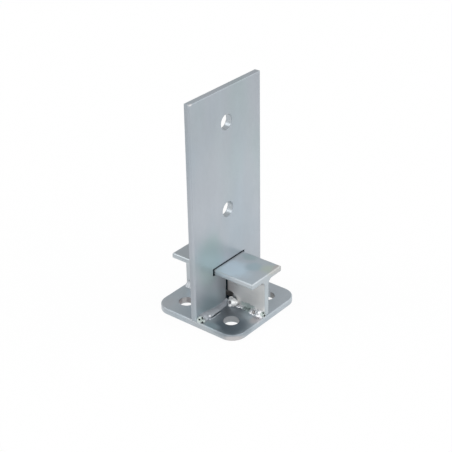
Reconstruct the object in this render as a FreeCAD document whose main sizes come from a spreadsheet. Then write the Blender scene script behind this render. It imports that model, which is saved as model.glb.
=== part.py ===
# Timber post base: a flat steel blade standing on a square base plate, with a short T section
# that passes through the blade and carries the end of the post. Millimetres, +Z up.
# The origin is the middle of the base plate's underside. The blade's width runs along X and
# the T section along Y.

import FreeCAD, Part
import Sketcher
import math
import os

doc = FreeCAD.newDocument("timber_post_base")

# The driving dimensions. Every one can be changed by itself.

driving_dimensions = {
    # flat bar that both the base plate and the blade are cut from, so their sides are flush
    "bar_width": 90,
    # base plate
    "base_length": 90,
    "base_thickness": 6,
    "base_corner_radius": 14,
    "base_edge_chamfer": 0.7,
    "anchor_hole_diameter": 14,
    "anchor_pitch_x": 50,
    "anchor_pitch_y": 50,
    # blade
    "blade_thickness": 6,
    "blade_height": 200,
    "blade_edge_chamfer": 0.5,
    "bolt_hole_diameter": 14,
    "bolt_hole_from_top": 30,
    "bolt_hole_spacing": 80,
    # seat, a length of rolled T section, cut a little shorter than the base plate
    "tee_end_setback": 1,
    "tee_height": 40,
    "flange_width": 40,
    "flange_thickness": 5,
    "flange_edge_chamfer": 0.6,
    "web_thickness": 5,
    "root_radius": 5,
    "toe_radius": 1,
    # arch in the foot of the web, which leaves room to weld the blade
    "arch_width": 26,
    "arch_height": 11,
    "arch_corner_radius": 6,
    # room round the T section where it passes through the blade
    "flange_clearance": 1,
    "flange_side_clearance": 1.5,
    "web_clearance": 2,
    # fillet welds
    "weld_leg": 5,
    "weld_leg_thick": 6.4,
    "weld_leg_thin": 2.8,
    "weld_crater_share": 0.6,
    "weld_face_radius_ratio": 2,
    "weld_ripple_pitch": 5,
    "weld_ripple_depth": 0.25,
    "weld_end_margin": 6,
    "weld_long_end_margin": 1,
    "weld_gap": 0.4,
    "lump_radius": 6.4,
    "lump_bite": 1.2,
}

sheet = doc.addObject("Spreadsheet::Sheet", "Sizes")
for row, (name, size) in enumerate(driving_dimensions.items(), start=1):
    sheet.set(f"A{row}", name)
    sheet.set(f"B{row}", str(size))
    sheet.setAlias(f"B{row}", name)
doc.recompute()


def value(expression):
    """What an expression in the sheet's names comes to."""
    return float(sheet.evalExpression(expression))


def make_body(name):
    body = doc.addObject("PartDesign::Body", name)
    body.Label = name
    return body


def make_sketch(body, name, plane_role):
    """A sketch on one of the body's own origin planes."""
    sketch = body.newObject("Sketcher::SketchObject", name)
    planes = [plane for plane in body.Origin.OriginFeatures if plane.Role == plane_role]
    sketch.AttachmentSupport = [(planes[0], "")]
    sketch.MapMode = "FlatFace"
    return sketch


def draw_outline(sketch, corners):
    """A closed outline of level and upright lines through corners, each a pair of expressions.
    The lines keep their directions, and each is held at its distance from the sketch's axes."""
    points = [FreeCAD.Vector(value(across), value(up), 0) for across, up in corners]
    lines = []
    for start, end in zip(points, points[1:] + points[:1]):
        lines.append(sketch.addGeometry(Part.LineSegment(start, end)))
    for number, line in enumerate(lines):
        following = lines[(number + 1) % len(lines)]
        sketch.addConstraint(Sketcher.Constraint("Coincident", line, 2, following, 1))
        across, up = corners[number]
        if corners[(number + 1) % len(lines)][1] == up:
            sketch.addConstraint(Sketcher.Constraint("Horizontal", line))
            hold_point(sketch, line, 1, "DistanceY", up)
        else:
            sketch.addConstraint(Sketcher.Constraint("Vertical", line))
            hold_point(sketch, line, 1, "DistanceX", across)


def hold_point(sketch, geometry, end, direction, expression):
    """Holds one end of a line at a distance from the sketch's origin along one of its axes."""
    distance = value(expression)
    if distance < 0:
        constraint = Sketcher.Constraint(direction, geometry, end, -1, 1, -distance)
        expression = f"-({expression})"
    else:
        constraint = Sketcher.Constraint(direction, -1, 1, geometry, end, distance)
    index = sketch.addConstraint(constraint)
    sketch.setExpression(f"Constraints[{index}]", expression)


def draw_hole(sketch, across, up, diameter):
    """A circle whose centre and diameter are expressions."""
    centre = FreeCAD.Vector(value(across), value(up), 0)
    circle = sketch.addGeometry(Part.Circle(centre, FreeCAD.Vector(0, 0, 1), value(diameter) / 2))
    index = sketch.addConstraint(Sketcher.Constraint("Diameter", circle, value(diameter)))
    sketch.setExpression(f"Constraints[{index}]", diameter)
    if across == "0":
        sketch.addConstraint(Sketcher.Constraint("PointOnObject", circle, 3, -2))
    else:
        hold_point(sketch, circle, 3, "DistanceX", across)
    hold_point(sketch, circle, 3, "DistanceY", up)


def pad(body, sketch, length, both_ways=False):
    feature = body.newObject("PartDesign::Pad", sketch.Name + "_pad")
    feature.Profile = sketch
    feature.setExpression("Length", length)
    if both_ways:
        feature.SideType = "Symmetric"
    doc.recompute()


def pocket_through(body, sketch):
    """Cuts the sketch's outlines right through the body, both ways from the sketch's plane."""
    before = body.Shape.Volume
    feature = body.newObject("PartDesign::Pocket", sketch.Name + "_pocket")
    feature.Profile = sketch
    feature.Type = "ThroughAll"
    feature.SideType = "Symmetric"
    doc.recompute()
    if not body.Shape.Volume < before:
        raise RuntimeError(f"{feature.Name} cut nothing")


def edges_where(shape, wanted):
    """The names of the shape's edges for which wanted(start, end) is true."""
    names = []
    for number, edge in enumerate(shape.Edges, start=1):
        if wanted(edge.firstVertex().Point, edge.lastVertex().Point):
            names.append(f"Edge{number}")
    return names


def round_edges(body, name, radius, wanted):
    base = body.Tip
    feature = body.newObject("PartDesign::Fillet", name)
    feature.Base = (base, edges_where(base.Shape, wanted))
    feature.setExpression("Radius", radius)
    doc.recompute()


def chamfer_edges(body, name, size, wanted):
    base = body.Tip
    feature = body.newObject("PartDesign::Chamfer", name)
    feature.Base = (base, edges_where(base.Shape, wanted))
    feature.setExpression("Size", size)
    doc.recompute()


same_place = 1e-4


def near(first, second):
    return abs(first - second) < same_place


half_bar_width = "Sizes.bar_width / 2"
base_top = "Sizes.base_thickness"
half_blade = "Sizes.blade_thickness / 2"
half_web = "Sizes.web_thickness / 2"
half_flange = "Sizes.flange_width / 2"
half_tee = "(Sizes.base_length / 2 - Sizes.tee_end_setback)"
seat_top = "(Sizes.base_thickness + Sizes.tee_height)"
seat_underside = "(Sizes.base_thickness + Sizes.tee_height - Sizes.flange_thickness)"


def make_base_plate():
    """Square plate with generous corners and four anchor holes."""
    body = make_body("base_plate")
    outline = make_sketch(body, "base_outline", "XY_Plane")
    half_length = "Sizes.base_length / 2"
    draw_outline(outline, [
        (f"-({half_bar_width})", f"-({half_length})"),
        (half_bar_width, f"-({half_length})"),
        (half_bar_width, half_length),
        (f"-({half_bar_width})", half_length),
    ])
    pad(body, outline, base_top)
    round_edges(body, "base_corners", "Sizes.base_corner_radius",
                lambda start, end: not near(start.z, end.z))
    chamfer_edges(body, "base_edges", "Sizes.base_edge_chamfer",
                  lambda start, end: near(start.z, end.z))
    holes = make_sketch(body, "anchor_holes", "XY_Plane")
    for side_x in ("-", ""):
        for side_y in ("-", ""):
            draw_hole(holes, f"{side_x}(Sizes.anchor_pitch_x / 2)",
                      f"{side_y}(Sizes.anchor_pitch_y / 2)", "Sizes.anchor_hole_diameter")
    pocket_through(body, holes)


def make_blade():
    """Upright flat bar with two bolt holes, and at its foot the T-shaped slot that it stands
    over the seat with. The slot's inner corners follow the root of the T section."""
    body = make_body("blade")
    outline = make_sketch(body, "blade_outline", "XZ_Plane")
    half_stem = "(Sizes.web_thickness / 2 + Sizes.web_clearance)"
    half_slot = "(Sizes.flange_width / 2 + Sizes.flange_side_clearance)"
    ledge = f"({seat_underside} - Sizes.flange_clearance)"
    slot_top = f"({seat_top} + Sizes.flange_clearance)"
    blade_top = "(Sizes.base_thickness + Sizes.blade_height)"
    draw_outline(outline, [
        (f"-({half_bar_width})", base_top),
        (f"-{half_stem}", base_top),
        (f"-{half_stem}", ledge),
        (f"-{half_slot}", ledge),
        (f"-{half_slot}", slot_top),
        (half_slot, slot_top),
        (half_slot, ledge),
        (half_stem, ledge),
        (half_stem, base_top),
        (half_bar_width, base_top),
        (half_bar_width, blade_top),
        (f"-({half_bar_width})", blade_top),
    ])
    pad(body, outline, "Sizes.blade_thickness", both_ways=True)
    stem_at, ledge_at = value(half_stem), value(ledge)
    round_edges(body, "slot_corners",
                "Sizes.root_radius - (Sizes.web_clearance + Sizes.flange_clearance) / 2",
                lambda start, end: near(start.x, end.x) and near(abs(start.x), stem_at)
                and near(start.z, end.z) and near(start.z, ledge_at))
    side_at, top_at = value(half_bar_width), value(blade_top)
    chamfer_edges(body, "blade_edges", "Sizes.blade_edge_chamfer",
                  lambda start, end: near(start.y, end.y)
                  and (near(start.z, top_at) and near(end.z, top_at)
                       or near(abs(start.x), side_at) and near(start.x, end.x)))
    holes = make_sketch(body, "bolt_holes", "XZ_Plane")
    upper = f"({blade_top} - Sizes.bolt_hole_from_top)"
    draw_hole(holes, "0", upper, "Sizes.bolt_hole_diameter")
    draw_hole(holes, "0", f"{upper} - Sizes.bolt_hole_spacing", "Sizes.bolt_hole_diameter")
    pocket_through(body, holes)


def make_seat_tee():
    """Length of rolled T section, flange up, standing on the base plate on the foot of its web.
    An arch in the foot of the web clears the blade's weld."""
    body = make_body("seat_tee")
    profile = make_sketch(body, "tee_profile", "XZ_Plane")
    draw_outline(profile, [
        (f"-({half_web})", base_top),
        (half_web, base_top),
        (half_web, seat_underside),
        (half_flange, seat_underside),
        (half_flange, seat_top),
        (f"-({half_flange})", seat_top),
        (f"-({half_flange})", seat_underside),
        (f"-({half_web})", seat_underside),
    ])
    pad(body, profile, f"2 * {half_tee}", both_ways=True)
    web_at, tip_at, underside_at = value(half_web), value(half_flange), value(seat_underside)
    round_edges(body, "root_fillets", "Sizes.root_radius",
                lambda start, end: near(start.z, underside_at) and near(end.z, underside_at)
                and near(abs(start.x), web_at) and near(start.x, end.x))
    round_edges(body, "toe_rounds", "Sizes.toe_radius",
                lambda start, end: near(start.z, underside_at) and near(end.z, underside_at)
                and near(abs(start.x), tip_at) and near(start.x, end.x))
    top_at = value(seat_top)
    chamfer_edges(body, "flange_edges", "Sizes.flange_edge_chamfer",
                  lambda start, end: near(start.z, top_at) and near(end.z, top_at))
    arch = make_sketch(body, "weld_arch", "YZ_Plane")
    half_arch = "(Sizes.arch_width / 2)"
    arch_top = "(Sizes.base_thickness + Sizes.arch_height)"
    draw_outline(arch, [
        (f"-{half_arch}", base_top),
        (half_arch, base_top),
        (half_arch, arch_top),
        (f"-{half_arch}", arch_top),
    ])
    pocket_through(body, arch)
    arch_at, crown_at = value(half_arch), value(arch_top)
    largest_round = 0.9
    round_edges(body, "arch_corners",
                f"min(Sizes.arch_corner_radius; Sizes.arch_height * {largest_round})",
                lambda start, end: near(start.y, end.y) and near(abs(start.y), arch_at)
                and near(start.z, end.z) and near(start.z, crown_at))


def draw_bead_section(body, name, station, leg):
    """One cross-section of a fillet weld, at a station along X: two straight legs, on the floor
    and on the wall, and a convex face between their toes."""
    sketch = make_sketch(body, name, "YZ_Plane")
    sketch.setExpression("AttachmentOffset.Base.z", station)
    reach = value(leg)
    ratio = value("Sizes.weld_face_radius_ratio")
    middle = reach * (1 - math.sqrt(2 * ratio * ratio - 1)) / 2
    root = FreeCAD.Vector(0, 0, 0)
    floor_toe = FreeCAD.Vector(reach, 0, 0)
    wall_toe = FreeCAD.Vector(0, reach, 0)
    circle = Part.Circle(FreeCAD.Vector(middle, middle, 0), FreeCAD.Vector(0, 0, 1), ratio * reach)
    floor_angle = math.atan2(-middle, reach - middle)
    wall_angle = math.atan2(reach - middle, -middle)
    floor_leg = sketch.addGeometry(Part.LineSegment(root, floor_toe))
    face = sketch.addGeometry(Part.ArcOfCircle(circle, floor_angle, wall_angle))
    wall_leg = sketch.addGeometry(Part.LineSegment(wall_toe, root))
    sketch.addConstraint(Sketcher.Constraint("Coincident", floor_leg, 1, -1, 1))
    sketch.addConstraint(Sketcher.Constraint("Coincident", wall_leg, 2, -1, 1))
    sketch.addConstraint(Sketcher.Constraint("Coincident", floor_leg, 2, face, 1))
    sketch.addConstraint(Sketcher.Constraint("Coincident", face, 2, wall_leg, 1))
    sketch.addConstraint(Sketcher.Constraint("Horizontal", floor_leg))
    sketch.addConstraint(Sketcher.Constraint("Vertical", wall_leg))
    hold_point(sketch, floor_leg, 2, "DistanceX", leg)
    hold_point(sketch, wall_leg, 1, "DistanceY", leg)
    radius = f"({leg}) * Sizes.weld_face_radius_ratio"
    index = sketch.addConstraint(Sketcher.Constraint("Radius", face, ratio * reach))
    sketch.setExpression(f"Constraints[{index}]", radius)
    return sketch


def make_weld(name, length, leg_at_start, leg_at_end):
    """A fillet weld laid along +X from the origin, on a floor at z = 0 and against a wall at
    y = 0. It is lofted through ripples, and its ends run down to small rounded craters."""
    body = make_body(name)
    fewest_ripples = 3
    ripples = max(fewest_ripples, round(value(length) / value("Sizes.weld_ripple_pitch")))
    steps = 2 * ripples
    sections = []
    for step in range(steps + 1):
        share = f"{step} / {steps}"
        leg = f"(({leg_at_start}) * (1 - {share}) + ({leg_at_end}) * {share})"
        if step in (0, steps):
            leg = f"{leg} * Sizes.weld_crater_share"
        elif step % 2 == 0:
            leg = f"{leg} - Sizes.weld_ripple_depth"
        sections.append(draw_bead_section(body, f"{name}_{step}", f"({length}) * {share}", leg))
    loft = body.newObject("PartDesign::AdditiveLoft", name + "_loft")
    loft.Profile = sections[0]
    loft.Sections = sections[1:]
    loft.Ruled = True
    doc.recompute()
    return body


def lay(item, turn, along_x, along_y):
    """Puts weld metal on the base plate's top, turned about Z, with its start at a place given
    by two expressions."""
    item.Placement = FreeCAD.Placement(
        FreeCAD.Vector(0, 0, 0), FreeCAD.Rotation(FreeCAD.Vector(0, 0, 1), turn))
    item.setExpression("Placement.Base.x", along_x)
    item.setExpression("Placement.Base.y", along_y)
    item.setExpression("Placement.Base.z", base_top)


def make_blade_welds():
    """Four welds along the foot of the blade, one each side of the web on both faces. The front
    left one starts thin beside the corner lump and grows to the blade's edge."""
    outer = f"({half_bar_width} - Sizes.weld_end_margin)"
    inner = "(Sizes.web_thickness / 2 + Sizes.web_clearance + Sizes.weld_gap)"
    run = f"{outer} - {inner}"
    weld = make_weld("weld_blade_front_right", run, "Sizes.weld_leg", "Sizes.weld_leg")
    lay(weld, 180, outer, f"-({half_blade})")
    weld = make_weld("weld_blade_back_left", run, "Sizes.weld_leg", "Sizes.weld_leg")
    lay(weld, 0, f"-{outer}", half_blade)
    weld = make_weld("weld_blade_back_right", run, "Sizes.weld_leg", "Sizes.weld_leg")
    lay(weld, 0, inner, half_blade)
    start = "(Sizes.web_thickness / 2 + Sizes.lump_radius + Sizes.weld_gap)"
    run = f"{half_bar_width} - Sizes.weld_long_end_margin - {start}"
    weld = make_weld("weld_blade_front_left", run, "Sizes.weld_leg_thin", "Sizes.weld_leg_thick")
    lay(weld, 180, f"-{start}", f"-({half_blade})")


def make_web_welds():
    """Four welds along the foot of the web, one each side of the arch on both faces. The two on
    the left run out to the web's ends."""
    outer = f"({half_tee} - Sizes.weld_end_margin)"
    far_outer = f"({half_tee} - Sizes.weld_long_end_margin)"
    inner = "(Sizes.arch_width / 2 + Sizes.weld_gap)"
    run = f"{outer} - {inner}"
    weld = make_weld("weld_web_front_right", run, "Sizes.weld_leg", "Sizes.weld_leg")
    lay(weld, -90, half_web, f"-{inner}")
    weld = make_weld("weld_web_back_right", run, "Sizes.weld_leg", "Sizes.weld_leg")
    lay(weld, -90, half_web, outer)
    run = f"{far_outer} - {inner}"
    weld = make_weld("weld_web_back_left", run, "Sizes.weld_leg", "Sizes.weld_leg")
    lay(weld, 90, f"-({half_web})", inner)
    lump_end = "Sizes.blade_thickness / 2 + Sizes.lump_radius * 2 - Sizes.lump_bite"
    stop = f"(max(Sizes.arch_width / 2; {lump_end}) + Sizes.weld_gap)"
    run = f"{far_outer} - {stop}"
    weld = make_weld("weld_web_front_left", run, "Sizes.weld_leg_thick", "Sizes.weld_leg_thin")
    lay(weld, 90, f"-({half_web})", f"-{far_outer}")


def make_corner_lump():
    """Rounded lump of weld metal in the front left corner, where the welds of the blade and the
    web were started: the part of a ball that lies clear of the plates, flat against all three."""
    ball = doc.addObject("Part::Sphere", "lump_ball")
    ball.setExpression("Radius", "Sizes.lump_radius")
    ball_from_blade = f"({half_blade} + Sizes.lump_radius - Sizes.lump_bite)"
    lay(ball, 0, f"-({half_web})", f"-{ball_from_blade}")
    room = doc.addObject("Part::Box", "lump_room")
    room.setExpression("Length", "Sizes.lump_radius")
    room.setExpression("Width", "Sizes.lump_radius * 2")
    room.setExpression("Height", "Sizes.lump_radius")
    lay(room, 180, f"-({half_web})", f"-({half_blade})")
    lump = doc.addObject("Part::Common", "weld_corner_front_left")
    lump.Label = "weld_corner_front_left"
    lump.Base = ball
    lump.Tool = room


make_base_plate()
make_blade()
make_seat_tee()
make_blade_welds()
make_web_welds()
make_corner_lump()
doc.recompute()

failed = [item.Name for item in doc.Objects if "Invalid" in item.State or "Error" in item.State]
if failed:
    raise RuntimeError(f"these did not compute: {failed}")

subparts = [item for item in doc.Objects
            if item.TypeId in ("PartDesign::Body", "Part::Common")]
for subpart in subparts:
    if subpart.Shape.isNull() or not subpart.Shape.isValid():
        raise RuntimeError(f"{subpart.Label} has no valid shape")

os.makedirs("parts", exist_ok=True)
for subpart in subparts:
    subpart.Shape.exportStep(f"parts/{subpart.Label}.step")
    box = subpart.Shape.BoundBox
    print(subpart.Label, round(subpart.Shape.Volume, 1), "mm3, solids", len(subpart.Shape.Solids),
          "x", round(box.XMin, 2), round(box.XMax, 2), "y", round(box.YMin, 2),
          round(box.YMax, 2), "z", round(box.ZMin, 2), round(box.ZMax, 2))
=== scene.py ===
# A timber post base of zinc plated steel: a square base plate, an upright blade, a length of
# T section that passes through the blade, and the weld metal that joins them.

import math
import random

import bpy
from mathutils import Euler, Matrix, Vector


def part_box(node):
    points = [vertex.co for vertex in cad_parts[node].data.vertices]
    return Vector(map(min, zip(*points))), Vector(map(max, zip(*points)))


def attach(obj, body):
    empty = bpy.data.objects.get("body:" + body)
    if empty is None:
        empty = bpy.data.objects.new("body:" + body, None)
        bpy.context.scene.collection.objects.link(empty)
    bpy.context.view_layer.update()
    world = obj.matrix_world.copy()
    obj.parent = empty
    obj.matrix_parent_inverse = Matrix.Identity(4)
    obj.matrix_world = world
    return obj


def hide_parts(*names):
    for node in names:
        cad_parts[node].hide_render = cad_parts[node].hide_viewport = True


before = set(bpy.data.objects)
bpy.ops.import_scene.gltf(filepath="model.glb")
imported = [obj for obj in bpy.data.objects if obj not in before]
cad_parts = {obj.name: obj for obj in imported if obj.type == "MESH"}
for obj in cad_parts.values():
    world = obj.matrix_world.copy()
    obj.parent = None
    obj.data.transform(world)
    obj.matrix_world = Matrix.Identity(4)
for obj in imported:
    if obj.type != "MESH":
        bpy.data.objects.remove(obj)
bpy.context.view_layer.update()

# Base plate: 90 mm flat bar cut square, its corners rounded, its edges broken and four anchor
# holes punched. It is zinc plated together with the rest once all is welded: a satin silver
# with a faint blue-green cast, cloudy where the bath left it so, and lightly grained.


def add_node(material, kind, **settings):
    """A new node in the material, with its settings and unlinked inputs given by name."""
    node = material.node_tree.nodes.new("ShaderNode" + kind)
    for name, setting in settings.items():
        if hasattr(node, name):
            setattr(node, name, setting)
        else:
            node.inputs[name.replace("_", " ")].default_value = setting
    return node


def feed(material, output, node, socket):
    """Joins an output to a socket of the node."""
    material.node_tree.links.new(output, node.inputs[socket])


def cloud(material, size, stretch=(1, 1, 1), detail=2, seed=0):
    """Soft noise between 0 and 1 whose patches are about size metres across. A stretch under 1
    draws them out along that axis, and each seed shows another part of the noise."""
    place = add_node(material, "TexCoord")
    shift = 0.05 * seed
    stretched = add_node(material, "Mapping", Location=(shift, shift, shift), Scale=stretch)
    feed(material, place.outputs["Object"], stretched, "Vector")
    noise = add_node(material, "TexNoise", Scale=1 / size, Detail=detail)
    feed(material, stretched.outputs["Vector"], noise, "Vector")
    return noise.outputs["Fac"]


def shift_range(material, value, low, high, to_low=0, to_high=1):
    """The value stretched smoothly from one range to another."""
    ranged = add_node(
        material, "MapRange", interpolation_type="SMOOTHSTEP",
        From_Min=low, From_Max=high, To_Min=to_low, To_Max=to_high)
    feed(material, value, ranged, "Value")
    return ranged.outputs["Result"]


def along(material, axis):
    """The place along an axis of the object, in metres."""
    place = add_node(material, "TexCoord")
    split = add_node(material, "SeparateXYZ")
    feed(material, place.outputs["Object"], split, "Vector")
    return split.outputs[axis]


def past(material, axis, start, full):
    """A mask that is 0 at start and 1 from full on, along an axis."""
    return shift_range(material, along(material, axis), start, full)


def near_middle(material, axis, start, full, most=1):
    """A mask by the distance from the object's middle along an axis: 0 from start outwards, and
    the most from full inwards."""
    distance = add_node(material, "Math", operation="ABSOLUTE")
    feed(material, along(material, axis), distance, 0)
    return shift_range(material, distance.outputs[0], start, full, 0, most)


def patch(material, centre, reach, raggedness=0.3, ragged_size=0.006, solid=0.35):
    """A mask that is 1 at a place and falls to 0 at its reach, with a ragged rim. It is 1
    throughout the solid share of the reach."""
    place = add_node(material, "TexCoord")
    away = add_node(material, "VectorMath", operation="SUBTRACT")
    away.inputs[1].default_value = centre
    feed(material, place.outputs["Object"], away, 0)
    scaled = add_node(material, "VectorMath", operation="MULTIPLY")
    scaled.inputs[1].default_value = tuple(1 / length for length in reach)
    feed(material, away.outputs["Vector"], scaled, 0)
    share = add_node(material, "VectorMath", operation="LENGTH")
    feed(material, scaled.outputs["Vector"], share, 0)
    rim = add_node(material, "Math", operation="MULTIPLY_ADD")
    rim.inputs[1].default_value = 2 * raggedness
    feed(material, cloud(material, ragged_size, detail=3), rim, 0)
    feed(material, share.outputs["Value"], rim, 2)
    return shift_range(material, rim.outputs[0], 1 + raggedness, solid + raggedness)


def where_all(material, mask, *others):
    """The mask where all the other masks are too."""
    for other in others:
        product = add_node(material, "Math", operation="MULTIPLY")
        feed(material, mask, product, 0)
        feed(material, other, product, 1)
        mask = product.outputs[0]
    return mask


def tint(material, below, mask, colour):
    """The colour laid over what is below it, by the mask."""
    mix = add_node(material, "MixRGB")
    if isinstance(below, tuple):
        mix.inputs["Color1"].default_value = (*below, 1)
    else:
        feed(material, below, mix, "Color1")
    mix.inputs["Color2"].default_value = (*colour, 1)
    feed(material, mask, mix, "Fac")
    return mix.outputs["Color"]


def shade(material, below, factor):
    """What is below it made darker or lighter by a grey factor."""
    mix = add_node(material, "MixRGB", blend_type="MULTIPLY", Fac=1)
    feed(material, below, mix, "Color1")
    feed(material, factor, mix, "Color2")
    return mix.outputs["Color"]


def shade_where(material, below, mask, factor):
    """What is below it, times the factor where the mask is."""
    return shade(material, below, shift_range(material, mask, 0, 1, 1, factor))


def zinc_plating(name, plain, drawn_along, seed):
    """Zinc plating on rolled bar, and the colour that its patches are laid on. Broad clouds make
    it cooler, warmer or greener, and finer ones a little darker or lighter."""
    material = bpy.data.materials.new(name)
    material.use_nodes = True
    red, green, blue = plain
    cool = (0.97 * red, green, 1.02 * blue)
    warm = (1.03 * red, green, blue)
    greenish = (0.97 * red, 1.02 * green, 0.98 * blue)
    warm_clouds = cloud(material, 0.045, drawn_along, seed=seed)
    colour = tint(material, cool, shift_range(material, warm_clouds, 0.35, 0.65), warm)
    green_clouds = cloud(material, 0.06, drawn_along, seed=seed + 3)
    colour = tint(
        material, colour, shift_range(material, green_clouds, 0.5, 0.72, 0, 0.8), greenish)
    for size, change, further in ((0.016, 0.035, 5), (0.0016, 0.015, 7)):
        fine_clouds = cloud(material, size, drawn_along, detail=3, seed=seed + further)
        colour = shade(material, colour, shift_range(
            material, fine_clouds, 0.2, 0.8, 1 - change, 1 + change))
    return material, colour


def finish_zinc(material, colour, black_shade, edge_radius, drawn_along, seed):
    """Joins the colour to a satin metal with a fine grain and softly rounded edges. Where the
    black shade mask is 1 the metal is painted shade: near black, with no metallic or specular
    sheen."""
    black_shade_colour = (0.018, 0.030, 0.040)
    shader = material.node_tree.nodes["Principled BSDF"]
    feed(material, shift_range(material, black_shade, 0, 1, 0.6, 0), shader, "Metallic")
    feed(material, shift_range(material, black_shade, 0, 1, 0.4, 0), shader, "Specular IOR Level")
    feed(material, tint(material, colour, black_shade, black_shade_colour), shader, "Base Color")
    shader.inputs["Roughness"].default_value = 0.31
    edges = add_node(material, "Bevel", samples=8, Radius=edge_radius)
    grain = add_node(material, "Bump", Strength=0.05, Distance=0.0001)
    grain_height = cloud(material, 0.0025, drawn_along, detail=1, seed=seed + 13)
    feed(material, grain_height, grain, "Height")
    feed(material, edges.outputs["Normal"], grain, "Normal")
    waves = add_node(material, "Bump", Strength=0.12, Distance=0.0004)
    wave_height = cloud(material, 0.012, drawn_along, seed=seed + 17)
    feed(material, wave_height, waves, "Height")
    feed(material, grain.outputs["Normal"], waves, "Normal")
    feed(material, waves.outputs["Normal"], shader, "Normal")


def dress(node, material):
    """Gives a plate the material in place of its own."""
    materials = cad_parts[node].data.materials
    materials.clear()
    materials.append(material)


base_seed = 1.3
along_base = (0.5, 1, 1)
base_left, base_front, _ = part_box("base_plate")[0]
base_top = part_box("base_plate")[1].z
base_zinc, base_colour = zinc_plating(
    "base_plate_zinc", (0.425, 0.466, 0.497), along_base, base_seed)
for centre, reach, ragged_size, colour in (
    # painted shade in the front left corner, between the blade and the web
    ((-0.031, -0.0305, base_top), (0.022, 0.022, 0.008), 0.012, (0.14, 0.175, 0.205)),
    # a pale patch of painted light at the front edge, and a blue one at the left edge
    ((-0.0107, -0.0408, base_top), (0.010, 0.006, 0.003), 0.008, (0.47, 0.46, 0.475)),
    ((-0.0412, -0.0172, base_top), (0.006, 0.010, 0.003), 0.008, (0.32, 0.395, 0.43)),
    # painted shade between the welds, and a dark line of painted shade in the groove close under
    # the weld of the blade
    ((-0.014, -0.016, base_top), (0.020, 0.016, 0.006), 0.010, (0.21, 0.235, 0.26)),
    ((-0.025, -0.0087, base_top), (0.009, 0.0018, 0.001), 0.002, (0.05, 0.06, 0.07)),
    # painted light on the side of the rounded corner
    ((-0.041, -0.041, 0.002), (0.012, 0.012, 0.004), 0.010, (0.48, 0.47, 0.475)),
):
    tone_and_painted_light = patch(base_zinc, centre, reach, raggedness=0.2, ragged_size=ragged_size)
    base_colour = tint(base_zinc, base_colour, tone_and_painted_light, colour)
hole_walls = where_all(
    base_zinc,
    near_middle(base_zinc, "X", 0.036, 0.034),
    near_middle(base_zinc, "Y", 0.036, 0.034),
    past(base_zinc, "Z", 0.0060, 0.0055),
    past(base_zinc, "Z", 0.0002, 0.0005))
# painted light and shade on the walls of the anchor holes
for centre, reach, colour in (
    # back left hole, then front right hole and front left hole
    ((-0.025, 0.025), 0.016, (0.46, 0.455, 0.46)),
    ((-0.0275, 0.0310), 0.005, (0.33, 0.31, 0.32)),
    ((-0.0188, 0.0265), 0.004, (0.28, 0.27, 0.28)),
    ((0.0318, -0.0275), 0.0045, (0.25, 0.25, 0.25)),
    ((-0.025, -0.025), 0.010, (0.30, 0.315, 0.33)),
):
    wall_light_patch = patch(
        base_zinc, (*centre, base_top), (reach, reach, 0.02),
        raggedness=0.2, ragged_size=0.003, solid=0.7)
    painted_wall_light = where_all(base_zinc, hole_walls, wall_light_patch)
    base_colour = tint(base_zinc, base_colour, painted_wall_light, colour)
left_side = past(base_zinc, "X", base_left + 0.0008, base_left + 0.0004)
front_side = past(base_zinc, "Y", base_front + 0.0008, base_front + 0.0004)
rim = past(base_zinc, "Z", base_top - 0.0008, base_top - 0.0003)
# painted shade: the left side darker, and the top rims of the left and front sides darker still,
# which takes down their highlights
for painted_shade, factor in (
    (left_side, 0.92),
    (where_all(base_zinc, rim, left_side), 0.72),
    (where_all(base_zinc, rim, front_side), 0.84),
):
    base_colour = shade_where(base_zinc, base_colour, painted_shade, factor)
# painted shade on the plate behind the arch
shade_behind_arch = patch(
    base_zinc, (0.010, 0.009, base_top), (0.010, 0.010, 0.004), ragged_size=0.004)
base_colour = tint(base_zinc, base_colour, shade_behind_arch, (0.06, 0.065, 0.07))
# painted shade: the plate under the arch black and without sheen
shade_under_arch = patch(
    base_zinc, (0.0015, 0, base_top), (0.009, 0.009, 0.004),
    raggedness=0.1, ragged_size=0.004, solid=0.6)
finish_zinc(
    base_zinc, base_colour, black_shade=shade_under_arch, edge_radius=0.0004, drawn_along=along_base,
    seed=base_seed)
dress("base_plate", base_zinc)

# Blade: the same flat bar stood upright, with two bolt holes and a T-shaped slot in its foot.
# The rolling left long faint streaks up it. Its foot is a bluer, darker tone, partly painted
# shade
# # where it meets the base plate, and it carries painted light and shade by the slot, the arch,
# the
# # web, on its narrow face and in its bolt holes, and a painted glint at one corner.

blade_seed = 2.1
along_blade = (1, 1, 0.4)
blade_edge, blade_face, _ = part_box("blade")[0]
blade_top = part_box("blade")[1].z
blade_zinc, blade_colour = zinc_plating(
    "blade_zinc", (0.413, 0.461, 0.502), along_blade, blade_seed)
# darker towards the top
darker_up = shift_range(blade_zinc, along(blade_zinc, "Z"), 0.10, 0.21, 1, 0.885)
blade_colour = shade(blade_zinc, blade_colour, darker_up)
above_seat = patch(
    blade_zinc, (-0.026, blade_face, 0.058), (0.024, 0.01, 0.036), ragged_size=0.02)
blade_colour = tint(blade_zinc, blade_colour, above_seat, (0.355, 0.44, 0.455))
# a bluer, darker foot, partly painted shade where the blade meets the base plate
bluish_foot = patch(
    blade_zinc, (-0.028, blade_face, 0.010), (0.026, 0.01, 0.026),
    raggedness=0.2, ragged_size=0.02, solid=0.2)
blade_colour = tint(blade_zinc, blade_colour, bluish_foot, (0.345, 0.43, 0.465))
narrow_face = past(blade_zinc, "X", blade_edge + 0.0006, blade_edge + 0.0003)
its_foot = past(blade_zinc, "Z", 0.09, 0.04)
its_front = past(blade_zinc, "Y", blade_face + 0.0032, blade_face + 0.0012)
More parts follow.
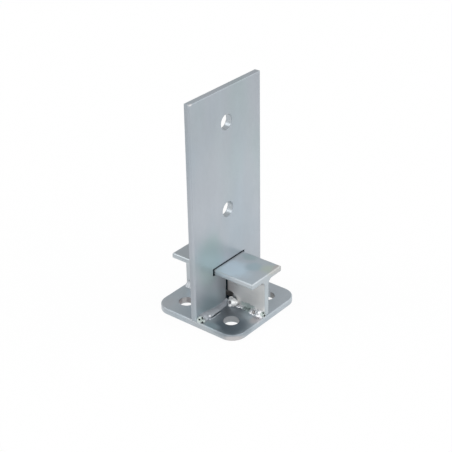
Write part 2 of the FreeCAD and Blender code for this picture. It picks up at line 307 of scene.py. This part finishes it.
# painted shade on the narrow face, more at its foot, and painted light towards its front corner
for painted_shading, factor in (
    (narrow_face, 0.90),
    (where_all(blade_zinc, narrow_face, its_foot), 0.90),
    (where_all(blade_zinc, narrow_face, its_front), 1.09),
):
    blade_colour = shade_where(blade_zinc, blade_colour, painted_shading, factor)
# a painted glint at the top left front corner
painted_corner_glint = patch(
    blade_zinc, (blade_edge + 0.001, blade_face, blade_top - 0.0002),
    (0.0035, 0.0025, 0.0016), ragged_size=0.002)
blade_colour = tint(blade_zinc, blade_colour, painted_corner_glint, (0.60, 0.61, 0.63))
# painted shade beside the arch, low on the blade
shade_by_the_arch = where_all(
    blade_zinc,
    near_middle(blade_zinc, "X", 0.0066, 0.0046),
    past(blade_zinc, "Z", 0.026, 0.016))
blade_colour = tint(blade_zinc, blade_colour, shade_by_the_arch, (0.08, 0.08, 0.08))
# painted shade beside the web, below the seat
shade_by_the_web = where_all(
    blade_zinc,
    near_middle(blade_zinc, "X", 0.020, 0.004, most=0.36),
    past(blade_zinc, "Z", 0.040, 0.034))
blade_colour = tint(blade_zinc, blade_colour, shade_by_the_web, (0.16, 0.17, 0.17))
# painted light on the walls of the bolt holes
light_on_bolt_hole_walls = where_all(
    blade_zinc,
    near_middle(blade_zinc, "Y", 0.0028, 0.0024),
    near_middle(blade_zinc, "X", 0.012, 0.010),
    past(blade_zinc, "Z", 0.06, 0.07),
    past(blade_zinc, "Z", 0.200, 0.195))
blade_colour = tint(blade_zinc, blade_colour, light_on_bolt_hole_walls, (0.45, 0.49, 0.52))
# painted shade, dark grey, on a slot wall behind the arch, kept clear of the black
dim_shade_on_slot_wall = patch(
    blade_zinc, (0.0045, 0, 0.009), (0.003, 0.006, 0.007),
    raggedness=0.2, ragged_size=0.003, solid=0.6)
blade_colour = tint(blade_zinc, blade_colour, dim_shade_on_slot_wall, (0.20, 0.185, 0.18))
# painted shade: the walls of the slot black, without sheen
black_shade_in_slot = where_all(
    blade_zinc,
    near_middle(blade_zinc, "Y", 0.0030, 0.0027),
    near_middle(blade_zinc, "X", 0.024, 0.0225),
    past(blade_zinc, "Z", 0.050, 0.048),
    shift_range(blade_zinc, dim_shade_on_slot_wall, 0, 1, 1, 0))
finish_zinc(
    blade_zinc, blade_colour, black_shade=black_shade_in_slot, edge_radius=0.0008,
    drawn_along=along_blade, seed=blade_seed)
dress("blade", blade_zinc)

# Seat: a length of rolled T section on the foot of its web. Its flange plated blue-green in
# # streaks across it, and the web under it a warmer grey that is painted paler, as painted light
# in
# # the shade of the flange. Its top edges carry a painted highlight, and the slot painted shade.

tee_seed = 3.7
along_tee = (1, 0.45, 1)
flange_thickness = 0.005
web_left = -0.0025
tee_left, tee_front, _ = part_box("seat_tee")[0]
tee_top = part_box("seat_tee")[1].z
flange_under = tee_top - flange_thickness
tee_zinc, tee_colour = zinc_plating("seat_tee_zinc", (0.46, 0.505, 0.53), along_tee, tee_seed)
for centre, reach, colour in (
    # in front of the blade, from the blade to the front edge, and behind it; the long thin row
    # at
    #     # the front edge is painted shade that takes down the highlight along it
    ((-0.010, -0.014), (0.020, 0.022), (0.56, 0.65, 0.71)),
    ((0.0152, -0.0137), (0.007, 0.010), (0.38, 0.45, 0.46)),
    ((0.0045, -0.027), (0.010, 0.010), (0.39, 0.475, 0.51)),
    ((0.009, -0.0392), (0.010, 0.009), (0.46, 0.52, 0.48)),
    ((0.0155, -0.0441), (0.007, 0.006), (0.49, 0.47, 0.46)),
    ((0.0120, -0.0445), (0.014, 0.003), (0.47, 0.48, 0.47)),
    ((0, 0.036), (0.05, 0.030), (0.385, 0.425, 0.455)),
):
    tone_and_painted_light = patch(tee_zinc, (*centre, tee_top), (*reach, 0.006), ragged_size=0.008)
    tee_colour = tint(tee_zinc, tee_colour, tone_and_painted_light, colour)
below_flange = past(tee_zinc, "Z", flange_under, flange_under - 0.002)
# painted light: the web below the flange paler, most in front, and warmer in tone
lit_web_by_the_blade = where_all(
    tee_zinc, below_flange,
    past(tee_zinc, "Y", 0.003, 0),
    past(tee_zinc, "Y", -0.030, -0.010))
tee_colour = tint(tee_zinc, tee_colour, lit_web_by_the_blade, (0.60, 0.57, 0.57))
lit_web_in_front = where_all(
    tee_zinc, below_flange,
    past(tee_zinc, "Y", -0.002, -0.026),
    past(tee_zinc, "Y", -0.0438, -0.0434))
tee_colour = tint(tee_zinc, tee_colour, lit_web_in_front, (0.79, 0.785, 0.77))
heated_web = patch(
    tee_zinc, (web_left, -0.026, 0.0095), (0.004, 0.010, 0.0035),
    raggedness=0.5, ragged_size=0.002, solid=0.6)
tee_colour = tint(tee_zinc, tee_colour, heated_web, (0.50, 0.57, 0.55))
# painted shade on the web round the arch
shade_round_arch = patch(
    tee_zinc, (web_left, -0.005, 0.0135), (0.004, 0.007, 0.0055),
    raggedness=0.2, ragged_size=0.004, solid=0.2)
tee_colour = tint(tee_zinc, tee_colour, shade_round_arch, (0.16, 0.16, 0.16))
# a painted highlight along the top left and top front edges
top_rim = past(tee_zinc, "Z", tee_top - 0.0014, tee_top - 0.0008)
left_rim = past(tee_zinc, "X", tee_left + 0.0012, tee_left + 0.0006)
front_rim = where_all(
    tee_zinc,
    past(tee_zinc, "X", 0.004, -0.012),
    past(tee_zinc, "Y", tee_front + 0.0012, tee_front + 0.0006))
for rim in (left_rim, front_rim):
    painted_edge_highlight = where_all(tee_zinc, top_rim, rim)
    tee_colour = tint(tee_zinc, tee_colour, painted_edge_highlight, (0.53, 0.58, 0.61))
# painted shade: black where the T passes through the slot
shade_inside_slot = near_middle(tee_zinc, "Y", 0.0036, 0.0030)
finish_zinc(
    tee_zinc, tee_colour, black_shade=shade_inside_slot, edge_radius=0.0012, drawn_along=along_tee,
    seed=tee_seed)
dress("seat_tee", tee_zinc)

# Front left weld of the blade: laid by hand along the corner between base plate and blade. It
# is fat and pitted where it starts at the blade's edge, and thins where it runs in to the web.
# The bath plated its smooth skin brighter than the bar, and left white salts in its pits.

millimetre = 0.001


def weld_metal(name, plain, metallic, roughness, stains_and_light, seed):
    """Bright plated weld metal with stains, painted highlights and painted shade, each a place,
    its reach and its colour.
    """
    material = bpy.data.materials.new(name)
    material.use_nodes = True
    dull = tuple(0.8 * share for share in plain)
    dull_clouds = cloud(material, 0.004, seed=seed)
    colour = tint(material, plain, shift_range(material, dull_clouds, 0.3, 0.7), dull)
    for centre, reach, laid in stains_and_light:
        mask = patch(
            material, Vector(centre) * millimetre, [reach * millimetre] * 3,
            ragged_size=0.0015, solid=0.7)
        colour = tint(material, colour, mask, laid)
    shader = material.node_tree.nodes["Principled BSDF"]
    shader.inputs["Metallic"].default_value = metallic
    feed(material, colour, shader, "Base Color")
    rough_clouds = cloud(material, 0.003, seed=seed)
    feed(material, shift_range(
        material, rough_clouds, 0.3, 0.7, roughness - 0.06, roughness + 0.06),
        shader, "Roughness")
    grain = add_node(material, "Bump", Strength=0.06, Distance=0.0002)
    feed(material, cloud(material, 0.0006, seed=seed), grain, "Height")
    feed(material, grain.outputs["Normal"], shader, "Normal")
    return material


def start_weld(name):
    """An empty mesh at the origin, open for drops of metal to be added in millimetres."""
    bpy.ops.object.select_all(action="DESELECT")
    bpy.ops.object.add(type="MESH", location=(0, 0, 0))
    weld = bpy.context.active_object
    weld.name = name
    weld.data.name = name
    bpy.ops.object.mode_set(mode="EDIT")
    return weld


def add_drop(centre, reach, turn=(0, 0, 0)):
    """One oval drop of metal."""
    bpy.ops.mesh.primitive_uv_sphere_add(
        segments=32, ring_count=20, radius=1, location=Vector(centre) * millimetre,
        rotation=turn, scale=Vector(reach) * millimetre)


def add_bead(runs_along, wall, outward, stations, sunk, pitch, drop_reach, seed):
    """Overlapping drops along the corner between the base plate and an upright plate, whose
    face is at wall. Each station is a place along the bead, with the bead's reach out over the
    base plate and up the wall. The deeper the drops are sunk, the flatter the bead."""
    rounding = math.hypot(1 + sunk, sunk)
    draw = random.Random(seed)
    for (start, *first), (end, *last) in zip(stations, stations[1:]):
        drops = max(1, round(abs(end - start) / pitch))
        for drop in range(drops + (end == stations[-1][0])):
            share = drop / drops
            place = start + (end - start) * share
            reach_out, reach_up = (
                (a + (b - a) * share) * draw.uniform(0.96, 1.03) for a, b in zip(first, last))
            across = wall - outward * sunk * reach_out
            height = base_top / millimetre - sunk * reach_up
            if runs_along == "X":
                add_drop((place, across, height),
                         (drop_reach, rounding * reach_out, rounding * reach_up))
            else:
                add_drop((across, place, height),
                         (rounding * reach_out, drop_reach, rounding * reach_up))


def apply_modifier(weld, name, kind, **settings):
    """Adds a modifier with its settings to the weld, and applies it."""
    modifier = weld.modifiers.new(name, kind)
    for setting, value in settings.items():
        setattr(modifier, setting, value)
    bpy.ops.object.modifier_apply(modifier=name)


def melt_drops(weld, unevenness):
    """Melts the drops into one skin with lumps of that height in millimetres."""
    bpy.ops.object.mode_set(mode="OBJECT")
    apply_modifier(weld, "melt", "REMESH", mode="VOXEL", voxel_size=0.25 * millimetre)
    apply_modifier(weld, "flow", "SMOOTH", iterations=12)
    lumps = bpy.data.textures.new(weld.name + "_lumps", "CLOUDS")
    lumps.noise_scale = 3 * millimetre
    apply_modifier(
        weld, "uneven", "DISPLACE", texture=lumps, texture_coords="LOCAL",
        strength=unevenness * millimetre)


def sink_pits(weld, pits, skin):
    """Sinks gas pits in the weld, each a place and its reach. They lean in to the corner."""
    inwards = Vector((1, 1, -1)).to_track_quat("Z", "Y").to_euler()
    cutter = start_weld("pits")
    for centre, reach in pits:
        add_drop(centre, (reach, reach, 3 * reach), inwards)
    bpy.ops.object.mode_set(mode="OBJECT")
    cutter.data.materials.append(skin)
    bpy.ops.object.select_all(action="DESELECT")
    bpy.context.view_layer.objects.active = weld
    weld.select_set(True)
    apply_modifier(
        weld, "dent", "BOOLEAN", operation="DIFFERENCE", object=cutter,
        material_mode="TRANSFER")
    bpy.data.objects.remove(cutter)


def cut_flat(weld, point, outward):
    """Cuts off what lies behind a plane, closes the cut and turns the faces outwards."""
    bpy.ops.object.mode_set(mode="EDIT")
    bpy.ops.mesh.select_all(action="SELECT")
    bpy.ops.mesh.bisect(
        plane_co=point, plane_no=outward, use_fill=True, clear_inner=True,
        threshold=0.001 * millimetre)
    bpy.ops.mesh.select_all(action="SELECT")
    bpy.ops.mesh.normals_make_consistent(inside=False)
    bpy.ops.object.mode_set(mode="OBJECT")


def melt_weld(weld, node, walls, unevenness, skin, pits=(), pit_skin=None):
    """Makes the drops one weld with its skin and pits, flat along the base plate and the walls.
    Each wall is a point and its outward side."""
    melt_drops(weld, unevenness)
    weld.data.materials.append(skin)
    if pits:
        sink_pits(weld, pits, pit_skin)
    for point, outward in ((Vector((0, 0, base_top)), (0, 0, 1)), *walls):
        cut_flat(weld, point, outward)
    bpy.ops.object.shade_smooth_by_angle(angle=math.radians(60))
    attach(weld, "root")
    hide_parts(node)


pit_scale = bpy.data.materials.new("pit_scale")
pit_scale.use_nodes = True
pit_shader = pit_scale.node_tree.nodes["Principled BSDF"]
pit_colour = tint(pit_scale, (0.02, 0.03, 0.03), shift_range(
    pit_scale, cloud(pit_scale, 0.0005), 0.3, 0.7), (0.05, 0.06, 0.06))
feed(pit_scale, pit_colour, pit_shader, "Base Color")
pit_shader.inputs["Roughness"].default_value = 0.7

white_salts = (0.46, 0.52, 0.50)
front_of_blade = ((0, blade_face, 0), (0, -1, 0))
weld = start_weld("front_left_blade_weld")
add_bead("X", blade_face / millimetre, -1, [
    (-41.2, 5.4, 5.6),
    (-36, 5.2, 5.2),
    (-28, 5.0, 3.8),
    (-20, 4.6, 2.6),
    (-11, 4.0, 2.4),
    (-5.5, 4.0, 4.0),
], sunk=1.1, pitch=1.6, drop_reach=5, seed=4)
for centre, reach in (
    ((-32.3, -7.2, 7.2), (1.3, 1.3, 1.3)),
    ((-41.4, -7.4, 7.0), (2.8, 2.2, 1.8)),
    ((-42.0, -4.8, 9.8), (2.2, 1.8, 1.8)),
    ((-34.4, -9.0, 6.2), (1.8, 1.5, 0.9)),
    ((-30.0, -10.2, 6.0), (3.6, 0.7, 0.6)),
    ((-24.0, -10.0, 6.0), (3.6, 0.6, 0.5)),
):
    add_drop(centre, reach)
blade_weld_metal = weld_metal(
    "blade_weld_metal", (0.44, 0.47, 0.51), metallic=0.5, roughness=0.42, stains_and_light=[
        ((-43.5, -6.6, 8.3), 4.4, white_salts),
        # a painted highlight on the small round drop
        ((-32.3, -7.6, 7.6), 1.3, (0.95, 0.95, 0.98)),
    ], seed=1.1)
melt_weld(
    weld, "weld_blade_front_left", [front_of_blade], unevenness=0.15,
    skin=blade_weld_metal, pit_skin=pit_scale, pits=[
        ((-44.0, -5.5, 9.0), 0.9),
        ((-40.6, -5.6, 8.9), 0.95),
        ((-43.2, -8.0, 6.7), 1.0),
    ])

# Front left corner lump: a round blob of weld metal, white with salts, that closes the corner
# # in front of the arch. It has one shallow dimple, where the torch was drawn away, with painted
# # shade in it.

web_half = 2.5
left_of_web = ((-web_half * millimetre, 0, 0), (-1, 0, 0))
weld = start_weld("front_left_corner_weld")
for centre, reach in (
    ((-4.8, -10.4, 8.6), (3.8, 4.6, 4.0)),
    ((-3.7, -8.0, 10.6), (2.0, 2.4, 2.4)),
    ((-3.9, -13.0, 8.9), (2.2, 2.6, 2.4)),
    ((-8.2, -10.0, 6.8), (1.4, 1.7, 1.3)),
):
    add_drop(centre, reach)
lump_metal = weld_metal(
    "corner_weld_metal", (0.97, 0.98, 0.98), metallic=0.3, roughness=0.3, stains_and_light=[
        # painted shade in the dimple
        ((-8.2, -9.9, 9.9), 2.0, (0.24, 0.24, 0.26)),
    ], seed=2.2)
melt_weld(
    weld, "weld_corner_front_left", [front_of_blade, left_of_web], unevenness=0.3,
    skin=lump_metal, pit_skin=lump_metal, pits=[((-9.2, -10.8, 10.8), 1.1)])

# Front left weld of the web: thin and spattered next to the lump, then a fat bright stitch that
# ends in pits at the web's end.

weld = start_weld("front_left_web_weld")
add_bead("Y", -web_half, -1, [
    (-17.0, 2.8, 1.5),
    (-26, 3.2, 1.8),
    (-31, 5.0, 3.4),
    (-36, 5.4, 4.6),
    (-41.6, 5.2, 5.2),
], sunk=0.6, pitch=2.6, drop_reach=3.6, seed=9)
for centre, reach in (
    ((-5.9, -16.9, 6.8), (1.4, 2.2, 1.3)),
    ((-5.3, -20.4, 6.8), (1.1, 1.4, 1.0)),
    ((-7.6, -32.2, 7.4), (1.5, 1.6, 1.5)),
    ((-4.6, -36.6, 9.6), (1.3, 1.5, 1.3)),
    ((-5.0, -39.6, 9.8), (2.1, 2.4, 2.1)),
    ((-7.2, -39.4, 7.6), (2.2, 3.0, 2.2)),
    ((-3.6, -43.6, 8.0), (2.4, 1.3, 2.8)),
):
    add_drop(centre, reach)
web_weld_metal = weld_metal(
    "web_weld_metal", (0.86, 0.87, 0.90), metallic=0.75, roughness=0.26, stains_and_light=[
        ((-4.5, -25.5, 7.0), 5.0, (0.32, 0.37, 0.36)),
        ((-5.5, -34.6, 8.0), 2.2, (0.40, 0.38, 0.38)),
        ((-4.6, -43.6, 9.0), 3.0, white_salts),
    ], seed=3.3)
melt_weld(
    weld, "weld_web_front_left", [left_of_web], unevenness=0.6,
    skin=web_weld_metal, pit_skin=pit_scale, pits=[
        ((-4.5, -43.8, 10.2), 0.65),
        ((-3.0, -44.6, 9.6), 0.65),
        ((-4.2, -44.8, 7.9), 0.95),
    ])

# The other welds: both sides of the web behind the blade, the right side of the web in front,
# and the blade's back and front right. Each is laid evenly in ripples, the one on the left of
# the web a little fuller.

blade_half = 3
for name, runs_along, half, outward, stations in (
    ("back_left_web_weld", "Y", web_half, -1, [(16, 4.4, 4.2), (30, 4.8, 4.6), (41, 5.6, 5.4)]),
    ("front_right_web_weld", "Y", web_half, 1, [(-36, 4.8, 4.8), (-16, 4.6, 4.6)]),
    ("back_right_web_weld", "Y", web_half, 1, [(16, 4.6, 4.6), (36, 4.8, 4.8)]),
    ("front_right_blade_weld", "X", blade_half, -1, [(7.4, 4.7, 4.6), (37, 4.8, 4.8)]),
    ("back_right_blade_weld", "X", blade_half, 1, [(7.4, 4.7, 4.6), (37, 4.8, 4.8)]),
    ("back_left_blade_weld", "X", blade_half, 1, [(-37, 4.8, 4.8), (-7.4, 4.7, 4.6)]),
):
    end, side, plate, _ = name.split("_")
    wall = outward * half
    face = wall * millimetre
    weld = start_weld(name)
    add_bead(
        runs_along, wall, outward, stations, sunk=0.6, pitch=2.2, drop_reach=3.2, seed=name)
    if runs_along == "X":
        along_plate = ((0, face, 0), (0, outward, 0))
    else:
        along_plate = ((face, 0, 0), (outward, 0, 0))
    even_weld_metal = weld_metal(
        f"{name}_metal", (0.54, 0.57, 0.60), metallic=0.6, roughness=0.38, stains_and_light=[
            # a black spot of painted shade by the arch, at the corner of web and blade
            ((5.5, 5.5, 9.0), 5, (0.05, 0.05, 0.05)),
        ], seed=len(name))
    melt_weld(
        weld, f"weld_{plate}_{end}_{side}", [along_plate], unevenness=0.3,
        skin=even_weld_metal)

# The table and the light: a white table in a pale studio that is brighter on the camera's side.
# The table keeps the shadow, and shows plain white in metal that mirrors it.

table_half = 4.0
table_drop = 0.0002
whiteness = 0.94
bpy.ops.object.select_all(action="DESELECT")
bpy.ops.mesh.primitive_plane_add(size=2 * table_half, location=(0, 0, -table_drop))
floor = bpy.context.active_object
floor.name = "floor"
floor_paint = bpy.data.materials.new("white_table")
floor_paint.use_nodes = True
floor_paint.node_tree.nodes.clear()
paint = add_node(floor_paint, "BsdfDiffuse", Color=(0.9, 0.9, 0.9, 1))
white = add_node(floor_paint, "Emission", Strength=1)
ray = add_node(floor_paint, "LightPath")
seen_or_mirrored = add_node(floor_paint, "Math", operation="MAXIMUM")
feed(floor_paint, ray.outputs["Is Camera Ray"], seen_or_mirrored, 0)
feed(floor_paint, ray.outputs["Is Glossy Ray"], seen_or_mirrored, 1)
seen_at_all = add_node(floor_paint, "Math", operation="MAXIMUM")
feed(floor_paint, seen_or_mirrored.outputs[0], seen_at_all, 0)
feed(floor_paint, ray.outputs["Is Transmission Ray"], seen_at_all, 1)
white_share = add_node(floor_paint, "Math", operation="MULTIPLY")
white_share.inputs[1].default_value = whiteness
feed(floor_paint, seen_at_all.outputs[0], white_share, 0)
whitened = add_node(floor_paint, "MixShader")
feed(floor_paint, white_share.outputs[0], whitened, "Fac")
feed(floor_paint, paint.outputs[0], whitened, 1)
feed(floor_paint, white.outputs[0], whitened, 2)
surface = add_node(floor_paint, "OutputMaterial")
feed(floor_paint, whitened.outputs[0], surface, "Surface")
floor.data.materials.append(floor_paint)

plain_level = 0.6
studio = bpy.data.worlds.new("studio")
studio.use_nodes = True
bpy.context.scene.world = studio
sky = studio.node_tree.nodes["Background"]
sky.inputs["Color"].default_value = (1, 1, 1, 1)
direction = add_node(studio, "TexCoord")
level = None
for azimuth, elevation, tightness, strength in (
    # degrees from +X, degrees up, and how tight and strong each soft light is
    (180, 20, 3, 0.75),
    (225, 20, 3, 0.50),
    (270, 20, 3, 0.30),
    (315, 20, 3, 0.90),
    (131, 42, 50, 3.0),
):
    facing = Vector((1, 0, 0))
    facing.rotate(Euler((0, -math.radians(elevation), math.radians(azimuth))))
    towards = add_node(studio, "VectorMath", operation="DOT_PRODUCT")
    towards.inputs[1].default_value = facing
    feed(studio, direction.outputs["Generated"], towards, 0)
    ahead = add_node(studio, "Math", operation="MAXIMUM")
    ahead.inputs[1].default_value = 0
    feed(studio, towards.outputs["Value"], ahead, 0)
    soft = add_node(studio, "Math", operation="POWER")
    soft.inputs[1].default_value = tightness
    feed(studio, ahead.outputs[0], soft, 0)
    added = add_node(studio, "Math", operation="MULTIPLY_ADD")
    added.inputs[1].default_value = strength
    feed(studio, soft.outputs[0], added, 0)
    if level is None:
        added.inputs[2].default_value = plain_level
    else:
        feed(studio, level, added, 2)
    level = added.outputs[0]
feed(studio, level, sky, "Strength")

# The camera looks down at the front left corner from about a metre away. The axis of its lens
# meets the picture a pixel or less to the right of the middle and above it.

camera_azimuth = math.radians(-50.63)
camera_elevation = math.radians(29.02)
camera_roll = math.radians(1.04)
camera_away = 1.0504
camera_up = 0.06926
camera_aside = -0.00007
photo_pixels = 452
focal_pixels = 1191.32
centre_right = 0.89
centre_down = -0.42
camera_data = bpy.data.cameras.new("camera")
camera = bpy.data.objects.new("camera", camera_data)
bpy.context.scene.collection.objects.link(camera)
turned = (
    Euler((0, 0, camera_azimuth)).to_matrix()
    @ Euler((math.pi / 2 - camera_elevation, 0, 0)).to_matrix()
    @ Euler((0, 0, -camera_roll)).to_matrix()
)
camera.location = turned @ Vector((camera_aside, camera_up, camera_away))
camera.rotation_euler = turned.to_euler()
camera_data.sensor_width = 36
camera_data.lens = focal_pixels * camera_data.sensor_width / photo_pixels
camera_data.shift_x = -centre_right / photo_pixels
camera_data.shift_y = centre_down / photo_pixels
bpy.context.scene.camera = camera
bpy.context.scene.view_settings.view_transform = "Standard"
